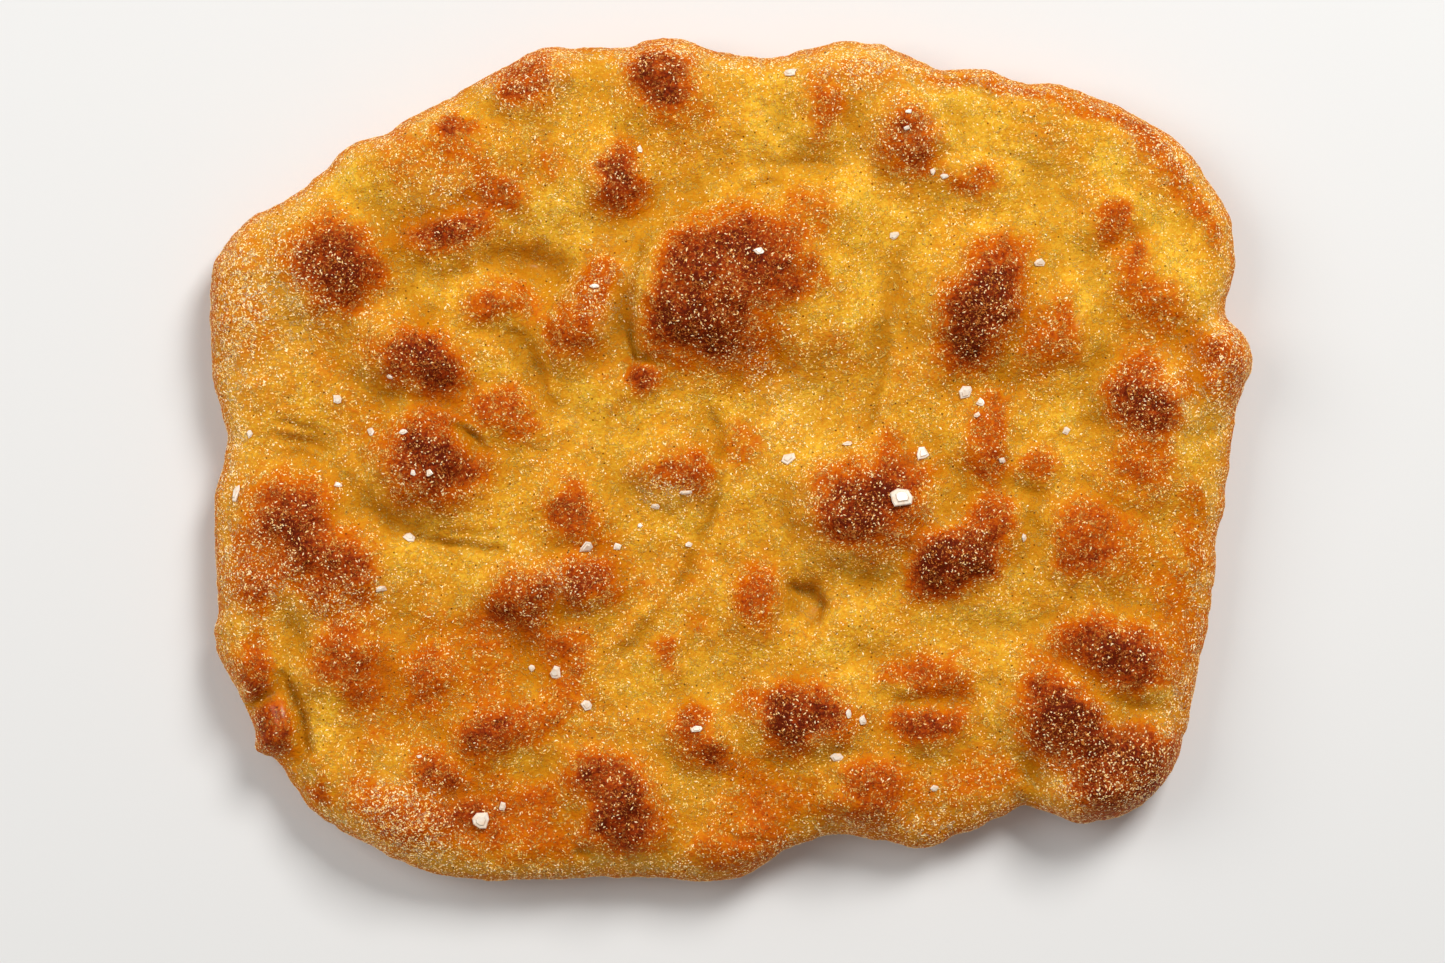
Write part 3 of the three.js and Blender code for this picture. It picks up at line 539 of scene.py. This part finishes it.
def dusting(x, y):
    """How thickly semolina lies, 0 to 1: a thin scatter with thicker drifts."""
    wx = x + 3.0 * layered_noise(x, y, 9.0, 31)
    wy = y + 3.0 * layered_noise(x, y, 9.0, 32)
    bare = np.full(np.shape(x), 1 - BASE_DUSTING)
    for drift in SEMOLINA:
        bare *= 1 - drift[5] * np.exp(-oval_distance(wx, wy, *drift[:5]) ** 2)
    return np.clip(1 - bare, 0, 1)


# --- Materials --------------------------------------------------------------------------------

# Crust tones from hardly baked at 0 to scorched at 1, as screen values.
BAKED_TONES = [
    (0.0, (238, 184, 46)), (0.12, (224, 156, 18)), (0.28, (213, 134, 6)), (0.44, (208, 112, 4)),
    (0.58, (200, 94, 6)), (0.72, (180, 76, 8)), (0.86, (144, 50, 8)), (1.0, (96, 27, 6)),
]
FLOUR_FILM = (236, 180, 92)  # semolina too fine to be seen as grains
# Painted shade: the greenish gold that hollows are darkened toward.
HOLLOW_PAINTED_SHADE = (186, 116, 8)
# Painted shade: the brown that creases are darkened toward.
CREASE_PAINTED_SHADE = (140, 76, 6)
# Painted shade: the dark brown of tiny pits, which are only painted.
PIT_PAINTED_SHADE = (96, 44, 4)
CURL_TONES = (248, 208, 108), (255, 234, 190)  # bare and floury
CURL_SCORCHED = (216, 128, 50)
COARSE_TONES = (252, 206, 126), (255, 234, 188)
FINE_TONES = (250, 190, 78), (255, 222, 138)
SEMOLINA_TOASTED = (176, 84, 16)
SALT_TONES = (252, 240, 222), (244, 218, 190)

# How fine each pattern is, in repeats to the metre.
MOTTLE_SCALE = 190.0
FINE_MOTTLE_SCALE = 1000.0
CURL_SCALE = 540.0
CURL_GAP_SCALE = 420.0
PIT_SCALE = 300.0
SEMOLINA_SCALE = 900.0
SALT_SCALE = 700.0
BUMP_HEIGHT = 0.0014  # in metres


def feed(tree, node, **inputs):
    """Gives a node its inputs, which are sockets to link or values to set.

    An input is named by its label, with _ for a space, or by i and its number.
    """
    for name, value in inputs.items():
        key = int(name[1:]) if name[0] == "i" and name[1:].isdigit() else name.replace("_", " ")
        if isinstance(value, bpy.types.NodeSocket):
            tree.links.new(value, node.inputs[key])
        else:
            node.inputs[key].default_value = value


def place_node(tree, kind, settings=None, **inputs):
    """Adds a node with its own settings, and feeds it its inputs."""
    node = tree.nodes.new(kind)
    for name, value in (settings or {}).items():
        setattr(node, name, value)
    feed(tree, node, **inputs)
    return node


def math_node(tree, operation, first, second=0.0):
    """One step of arithmetic on two values."""
    settings = {"operation": operation}
    return place_node(tree, "ShaderNodeMath", settings, i0=first, i1=second).outputs[0]


def add(tree, first, second):
    """The sum of two values."""
    return math_node(tree, "ADD", first, second)


def multiply(tree, first, second):
    """The product of two values."""
    return math_node(tree, "MULTIPLY", first, second)


def srgb(red, green, blue):
    """A colour from its 0 to 255 screen values, made linear by the screen's own curve."""
    share = np.array((red, green, blue)) / 255
    linear = np.where(share <= 0.04045, share / 12.92, ((share + 0.055) / 1.055) ** 2.4)
    return (*linear.tolist(), 1.0)


def colour_ramp(tree, value, stops):
    """A colour for each value, blended between stops of position and screen values."""
    node = place_node(tree, "ShaderNodeValToRGB", Fac=value)
    ramp = node.color_ramp
    while len(ramp.elements) < len(stops):
        ramp.elements.new(1.0)
    for element, (position, tone) in zip(ramp.elements, stops):
        element.position, element.color = position, srgb(*tone)
    return node.outputs["Color"]


def value_range(tree, value, low, high, to_low=0.0, to_high=1.0):
    """A value's range stretched from low..high to to_low..to_high, and held there."""
    node = place_node(
        tree, "ShaderNodeMapRange", {"clamp": True}, Value=value,
        From_Min=low, From_Max=high, To_Min=to_low, To_Max=to_high,
    )
    return node.outputs["Result"]


def mix_colour(tree, share, first, second):
    """The first colour, going over to the second as share goes from 0 to 1."""
    node = place_node(tree, "ShaderNodeMix", {"data_type": "RGBA"}, i0=share, i6=first, i7=second)
    return node.outputs[2]


def object_place(tree):
    """Where a point of the piece is, on the piece's own axes."""
    return place_node(tree, "ShaderNodeTexCoord").outputs["Object"]


def point_value(tree, name):
    """A value stored on the piece's points."""
    return place_node(tree, "ShaderNodeAttribute", {"attribute_name": name}).outputs["Fac"]


def cloudy(tree, place, scale, detail, **more):
    """Cloudy noise at a place, from 0 to 1."""
    node = place_node(
        tree, "ShaderNodeTexNoise", Vector=place, Scale=scale, Detail=detail, **more
    )
    return node.outputs["Fac"]


def new_material(name):
    """An empty material: its node tree, and its shader linked to the output."""
    material = bpy.data.materials.new(name)
    material.use_nodes = True
    tree = material.node_tree
    return material, tree, tree.nodes["Principled BSDF"]


def curl_mask(tree, place):
    """Fine curls: thin lines where twisted noise crosses its middle, broken up by other noise."""
    thread = cloudy(tree, place, CURL_SCALE, 1.0, Distortion=1.4)
    from_middle = math_node(tree, "ABSOLUTE", math_node(tree, "SUBTRACT", thread, 0.5))
    line = value_range(tree, from_middle, 0.01, 0.05, 1.0, 0.0)
    kept = value_range(tree, cloudy(tree, place, CURL_GAP_SCALE, 0.0), 0.47, 0.53)
    return multiply(tree, line, kept)


def pit_shade_mask(tree, place):
    """Painted shade of small pits, which the shape doesn't have: the middles of about one in six of the
    cells of a cell pattern.
    """
    flat = {"voronoi_dimensions": "2D"}
    cells = place_node(tree, "ShaderNodeTexVoronoi", flat, Vector=place, Scale=PIT_SCALE)
    draw = place_node(tree, "ShaderNodeSeparateColor", Color=cells.outputs["Color"]).outputs[0]
    middle = value_range(tree, cells.outputs["Distance"], 0.05, 0.11, 1.0, 0.0)
    return multiply(tree, middle, math_node(tree, "LESS_THAN", draw, 0.16))


def crust_material():
    """Baked crust: gold to dark brown by its browning, mottled, with painted shade in hollows, creases
    and pits, and pale curls.
    """
    material, tree, shader = new_material("baked_crust")
    place = object_place(tree)
    brown, dust = point_value(tree, "browning"), point_value(tree, "semolina")
    hollow, crease = point_value(tree, "hollow"), point_value(tree, "crease")
    mottle = cloudy(tree, place, MOTTLE_SCALE, 5.0, Roughness=0.72)
    grain = cloudy(tree, place, FINE_MOTTLE_SCALE, 2.0, Roughness=0.6)
    curls = curl_mask(tree, place)

    mottling = add(
        tree, value_range(tree, mottle, 0.3, 0.7, -0.045, 0.045),
        value_range(tree, grain, 0.3, 0.7, -0.13, 0.13),
    )
    sheltered = value_range(tree, hollow, -1.0, 1.6, 1.05, 0.78)
    baked = add(tree, multiply(tree, brown, sheltered), mottling)
    colour = colour_ramp(tree, baked, BAKED_TONES)

    powder = multiply(
        tree, value_range(tree, dust, 0.08, 0.6, 0.1, 0.26),
        value_range(tree, brown, 0.25, 0.55, 1.0, 0.0),
    )
    colour = mix_colour(tree, powder, colour, srgb(*FLOUR_FILM))
    # Painted shade: hollows that lie below their surroundings are darkened toward a greenish gold.
    painted_hollow_shade = value_range(tree, hollow, 0.1, 2.2, 0.0, 0.7)
    colour = mix_colour(tree, painted_hollow_shade, colour, srgb(*HOLLOW_PAINTED_SHADE))
    # Painted shade darkens the creases.
    colour = mix_colour(tree, multiply(tree, crease, 0.45), colour, srgb(*CREASE_PAINTED_SHADE))

    floury = value_range(tree, dust, 0.2, 0.7)
    curl_colour = mix_colour(tree, floury, *(srgb(*tone) for tone in CURL_TONES))
    scorched = value_range(tree, brown, 0.45, 0.85)
    curl_colour = mix_colour(tree, scorched, curl_colour, srgb(*CURL_SCORCHED))
    shown = multiply(tree, curls, value_range(tree, dust, 0.1, 0.7, 0.62, 0.85))
    colour = mix_colour(tree, shown, colour, curl_colour)
    # Painted shade of tiny pits.
    pits = multiply(tree, pit_shade_mask(tree, place), 0.8)
    colour = mix_colour(tree, pits, colour, srgb(*PIT_PAINTED_SHADE))

    bare = value_range(tree, dust, 0.0, 0.08, 1.0, 0.0)
    oily = value_range(tree, multiply(tree, bare, brown), 0.0, 0.6)
    bumps = add(tree, multiply(tree, mottle, 0.45), multiply(tree, grain, 0.3))
    height = add(tree, bumps, multiply(tree, curls, 0.2))
    bump = place_node(tree, "ShaderNodeBump", Strength=1.0, Distance=BUMP_HEIGHT, Height=height)
    feed(
        tree, shader, Base_Color=colour, Roughness=0.5, Specular_IOR_Level=0.03,
        Coat_Weight=oily, Coat_Roughness=0.26, Normal=bump.outputs["Normal"],
        Subsurface_Weight=0.3, Subsurface_Radius=(1.0, 0.4, 0.1), Subsurface_Scale=0.0022,
    )
    return material


def toasted_grain():
    """The group that every kind of semolina shares, from a grain's place and browning to its look.

    Colour lies between two tones by noise, then goes over to toasted on browned crust. Its painted
    light, which makes the grains shine though they are no lamp, is the same colour, dimmed there.
    """
    group = bpy.data.node_groups.new("toasted_grain", "ShaderNodeTree")
    sockets = [
        ("Place", "INPUT", "Vector"), ("Browning", "INPUT", "Float"), ("Tone", "INPUT", "Color"),
        ("Pale Tone", "INPUT", "Color"), ("Toasting", "INPUT", "Float"),
        ("Colour", "OUTPUT", "Color"), ("Light", "OUTPUT", "Color"),
    ]
    for name, way, kind in sockets:
        group.interface.new_socket(name, in_out=way, socket_type=f"NodeSocket{kind}")
    given = place_node(group, "NodeGroupInput").outputs
    shade = value_range(group, cloudy(group, given["Place"], SEMOLINA_SCALE, 1.0), 0.38, 0.62)
    colour = mix_colour(group, shade, given["Tone"], given["Pale Tone"])
    toasted = value_range(group, given["Browning"], 0.4, 0.9, 0.0, given["Toasting"])
    colour = mix_colour(group, toasted, colour, srgb(*SEMOLINA_TOASTED))
    # The painted light fades to none on browned crust.
    dimmed = value_range(group, given["Browning"], 0.3, 0.7, 0.0, 0.6)
    light = mix_colour(group, dimmed, colour, (0.0, 0.0, 0.0, 1.0))
    place_node(group, "NodeGroupOutput", Colour=colour, Light=light)
    return group


def semolina_material(name, group, tones, toasting, painted_glow):
    """Semolina between two tones, toasted on browned crust, with a little painted light for light passing
    through.
    """
    material, tree, shader = new_material(name)
    tone, pale = (srgb(*screen_values) for screen_values in tones)
    look = place_node(
        tree, "ShaderNodeGroup", {"node_tree": group}, Place=object_place(tree),
        Browning=point_value(tree, "browning"), Tone=tone, Pale_Tone=pale, Toasting=toasting,
    ).outputs
    # Emission here is painted light: the grains shine though they are no lamp.
    feed(
        tree, shader, Base_Color=look["Colour"], Roughness=0.4, Specular_IOR_Level=0.2,
        Emission_Color=look["Light"], Emission_Strength=painted_glow,
    )
    return material


def salt_material():
    """Flake salt: nearly white with a faint warm clouding, glossy on its faces."""
    material, tree, shader = new_material("flake_salt")
    clouded = value_range(tree, cloudy(tree, object_place(tree), SALT_SCALE, 2.0), 0.35, 0.65)
    colour = mix_colour(tree, clouded, *(srgb(*tone) for tone in SALT_TONES))
    feed(tree, shader, Base_Color=colour, Roughness=0.25, Transmission_Weight=0.1, IOR=1.54)
    return material


# --- Pieces -----------------------------------------------------------------------------------


def hand_over(piece, slot, material, *nodes):
    """Gives a piece its material and its body, and hides the nodes it stands for; its slot is not used.
    """
    piece.data.materials.append(material)
    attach(piece, "root")
    if nodes:
        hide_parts(*nodes)


points, faces, drop = loaf_mesh()
plan = spread_out(points, drop)
loaf_brown = 1 - (1 - browning(*plan)) * (1 - RIM_BROWNING * smooth_step((drop - 1) / 7))
loaf_dust = 1 - (1 - dusting(*plan)) * (1 - RIM_DUSTING * smooth_step(drop / 4))
loaf_hollow = hollowness(points)
loaf = add_mesh("focaccia_loaf", points, faces)
add_attribute(loaf, "browning", loaf_brown)
add_attribute(loaf, "semolina", loaf_dust)
add_attribute(loaf, "hollow", loaf_hollow)
# The crease value is the share of painted shade along the creases.
add_attribute(loaf, "crease", painted_crease_shade(*plan))
hand_over(loaf, "bread", crust_material(), "bread")


def scattered_grains(count, rng, thin):
    """Places over the loaf, with the normal and browning at each.

    Faces are chosen by area times how thickly grains lie, and a place anywhere on each is as likely.
    """
    corners = points[faces]
    turned = np.cross(corners[:, 1] - corners[:, 0], corners[:, 2] - corners[:, 0])
    area = np.linalg.norm(turned, axis=1)
    thickly = thin * np.minimum(1, loaf_dust / 0.1) + (1 - thin) * loaf_dust**1.5
    thickly *= np.clip(1.1 - 0.5 * loaf_hollow, 0.15, 1.1) * (points[:, 2] > 0.5)
    chance = area * thickly[faces].mean(1)
    chosen = rng.choice(len(faces), count, p=chance / chance.sum())
    share = rng.dirichlet((1.0, 1.0, 1.0), count)
    place = np.sum(corners[chosen] * share[:, :, None], 1)
    return place, turned[chosen] / area[chosen, None], loaf_brown[faces[chosen]].mean(1)


# A grain's faces: points 0 and 1 are its ends, 2 and 3 its sides, 4 its top and 5 its underside.
GRAIN_FACES = np.array(
    [(0, 2, 4), (2, 1, 4), (1, 3, 4), (3, 0, 4), (2, 0, 5), (1, 2, 5), (3, 1, 5), (0, 3, 5)]
)


def semolina_mesh(count, seed, sizes, longest, thin):
    """Grains as eight-faced lumps, each lying along the crust at its own angle.

    Half widths are drawn between the two sizes, and a grain is up to longest times as long as wide.
    The thin share of them lies all over the crust, and the rest where semolina has drifted.
    """
    rng = np.random.default_rng(seed)
    place, normal, brown = scattered_grains(count, rng, thin)
    along = np.cross(normal, rng.normal(0, 1, (count, 3)))
    along /= np.linalg.norm(along, axis=1, keepdims=True)
    across = np.cross(normal, along)
    half = rng.uniform(*sizes, (count, 1))
    length = half * rng.uniform(1.0, longest, (count, 1))
    middle = place + GRAIN_LIFT * half * normal
    bend = across * half * rng.uniform(-GRAIN_BEND, GRAIN_BEND, (count, 1))
    lumps = np.stack(
        [
            middle + along * length + bend, middle - along * length + bend,
            middle + across * half, middle - across * half,
            middle + normal * half * GRAIN_THICKNESS, middle - normal * half * GRAIN_THICKNESS,
        ],
        1,
    ).reshape(-1, 3)
    lump_faces = (GRAIN_FACES[None] + 6 * np.arange(count)[:, None, None]).reshape(-1, 3)
    return lumps, lump_faces, np.repeat(brown, 6)


def semolina_piece(name, material, **scatter):
    """A piece made of scattered grains, each knowing how browned the crust is under it."""
    lumps, lump_faces, brown = semolina_mesh(**scatter)
    piece = add_mesh(name, lumps, lump_faces, smooth=False)
    add_attribute(piece, "browning", brown)
    hand_over(piece, "bread", material)


grain_look = toasted_grain()
coarse_look = semolina_material(
    "coarse_semolina", grain_look, COARSE_TONES, toasting=0.15, painted_glow=0.24
)
fine_look = semolina_material("fine_semolina", grain_look, FINE_TONES, toasting=0.9, painted_glow=0.14)
semolina_piece(
    "coarse_semolina_1", coarse_look,
    count=12000, seed=5, sizes=(0.15, 0.25), longest=3.0, thin=0.03,
)
semolina_piece(
    "coarse_semolina_2", coarse_look,
    count=8500, seed=4, sizes=(0.18, 0.28), longest=1.3, thin=0.07,
)
for number in range(3):
    semolina_piece(
        f"fine_semolina_{number + 1}", fine_look,
        count=21000, seed=6 + number, sizes=(0.11, 0.18), longest=3.6, thin=0.3,
    )


def surface_at(x, y):
    """Height of the crust and its normal at points, from the height formula and its slopes."""
    rim_x, rim_y = rim_points(np.linspace(0, 1, 2000, endpoint=False))
    rim_angle = np.arctan2(rim_y, rim_x)
    order = np.argsort(rim_angle)
    rim_radius = np.hypot(rim_x, rim_y)

    def height(px, py):
        """The loaf's own height formula, with the rim's radius read from the outline by angle."""
        radius = np.interp(np.arctan2(py, px), rim_angle[order], rim_radius[order], period=2 * np.pi)
        return top_height(px, py, rim_rounding(np.hypot(px, py) / radius, radius))

    z = height(x, y)
    slope_x = (height(x + SLOPE_REACH, y) - height(x - SLOPE_REACH, y)) / (2 * SLOPE_REACH)
    slope_y = (height(x, y + SLOPE_REACH) - height(x, y - SLOPE_REACH)) / (2 * SLOPE_REACH)
    normal = np.stack([-slope_x, -slope_y, np.ones_like(z)], -1)
    return z, normal / np.linalg.norm(normal, axis=1, keepdims=True)


# A crystal's rings, from its underside up: share of its thickness, and share of its outline.
CRYSTAL_RINGS = [(0.0, 0.84), (0.3, 1.0), (0.55, 0.9), (0.65, 0.62), (1.0, 0.5)]


def crystal_mesh(length, width, seed):
    """A flake of salt: a thin plate of five to eight uneven corners with a smaller one grown on it."""
    rng = np.random.default_rng(seed)
    corners = int(rng.integers(5, 9))
    k = np.arange(corners)
    angle = (k + rng.uniform(-0.3, 0.3, corners)) * 2 * math.pi / corners
    reach = rng.uniform(0.7, 1.15, corners)
    outline = np.stack([np.cos(angle) * reach * length / 2, np.sin(angle) * reach * width / 2], -1)
    outline *= np.array([length, width]) / np.ptp(outline, axis=0)
    outline -= (outline.max(0) + outline.min(0)) / 2
    thick = SALT_THICKNESS * (length + width) / 2
    slant = rng.uniform(-0.16, 0.16, 2)
    rings = []
    for level, share in CRYSTAL_RINGS:
        ring = outline * share
        rings.append(np.column_stack([ring, level * (thick + ring @ slant)]))
    points = np.vstack(rings + [[[0, 0, 0]], [[0, 0, thick]]])
    following = (k + 1) % corners
    faces = []
    for ring in range(len(CRYSTAL_RINGS) - 1):
        low, high = corners * ring, corners * ring + corners
        faces.append(np.stack([low + k, low + following, high + following], -1))
        faces.append(np.stack([low + k, high + following, high + k], -1))
    bottom, top = len(points) - 2, len(points) - 1
    last = corners * (len(CRYSTAL_RINGS) - 1)
    faces.append(np.stack([np.full(corners, bottom), following, k], -1))
    faces.append(np.stack([np.full(corners, top), last + k, last + following], -1))
    return points, np.vstack(faces)


def upright_to(normal):
    """The turn that stands +Z along a normal, as a matrix whose columns are the turned axes."""
    side = np.cross([0.0, 1.0, 0.0], normal)
    side /= np.linalg.norm(side)
    return np.column_stack([side, np.cross(normal, side), normal])


salt = salt_material()
for number, node in enumerate(sorted(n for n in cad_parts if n.startswith("salt_flake"))):
    low, high = (np.array(corner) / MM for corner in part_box(node))
    middle = (low + high) / 2
    z, normal = surface_at(middle[:1], middle[1:2])
    crystal_points, crystal_faces = crystal_mesh(high[0] - low[0], high[1] - low[1], 100 + number)
    placed = crystal_points @ upright_to(normal[0]).T + [middle[0], middle[1], z[0] + SALT_GAP]
    crystal = add_mesh(f"salt_crystal_{number + 1:02d}", placed, crystal_faces, smooth=False)
    hand_over(crystal, "salt", salt, node)


# --- Floor, light and camera ------------------------------------------------------------------

FLOOR_HALF = 3.0  # half its width, in metres as all the sizes below
FLOOR_HEIGHT = -0.0005  # just clear of the underside
VIEW_WIDTH = 0.416  # how much the view takes in at the height of its plane
VIEW_PLANE = 0.012
VIEW_MIDDLE = (-0.0024, -0.0065)
CAMERA_HEIGHT = 1.2  # above the plane
SENSOR_WIDTH = 36.0  # in millimetres


def plain_floor():
    """A wide pale floor just under the loaf."""
    mesh = bpy.data.meshes.new("floor")
    corners = [(-FLOOR_HALF, -FLOOR_HALF), (FLOOR_HALF, -FLOOR_HALF)]
    corners += [(FLOOR_HALF, FLOOR_HALF), (-FLOOR_HALF, FLOOR_HALF)]
    mesh.from_pydata([(*corner, FLOOR_HEIGHT) for corner in corners], [], [(0, 1, 2, 3)])
    floor = bpy.data.objects.new("floor", mesh)
    bpy.context.scene.collection.objects.link(floor)
    material, tree, shader = new_material("pale_floor")
    feed(tree, shader, Base_Color=(0.78, 0.77, 0.75, 1.0), Roughness=0.8)
    mesh.materials.append(material)


def soft_light(name, place, size, power):
    """A square light that faces the middle of the loaf."""
    data = bpy.data.lights.new(name, "AREA")
    data.shape, data.size, data.energy = "SQUARE", size, power
    light = bpy.data.objects.new(name, data)
    bpy.context.scene.collection.objects.link(light)
    light.location = place
    back = np.array(place) / np.linalg.norm(place)
    light.rotation_mode = "QUATERNION"
    light.rotation_quaternion = Vector(back).to_track_quat("Z", "Y")


plain_floor()
soft_light("key_light", (0.75, 1.2, 1.5), size=0.75, power=35.2)
soft_light("fill_light", (-1.4, 0.5, 1.4), size=1.4, power=18.9)
world = bpy.data.worlds.new("studio")
world.use_nodes = True
sky = world.node_tree.nodes["Background"]
feed(world.node_tree, sky, Color=(1.0, 1.0, 1.0, 1.0), Strength=0.248)
bpy.context.scene.world = world
bpy.context.scene.view_settings.view_transform = "Standard"

camera_data = bpy.data.cameras.new("camera")
camera_data.sensor_width = SENSOR_WIDTH
camera_data.lens = SENSOR_WIDTH * CAMERA_HEIGHT / VIEW_WIDTH
camera = bpy.data.objects.new("camera", camera_data)
bpy.context.scene.collection.objects.link(camera)
camera.location = (*VIEW_MIDDLE, CAMERA_HEIGHT + VIEW_PLANE)
bpy.context.scene.camera = camera
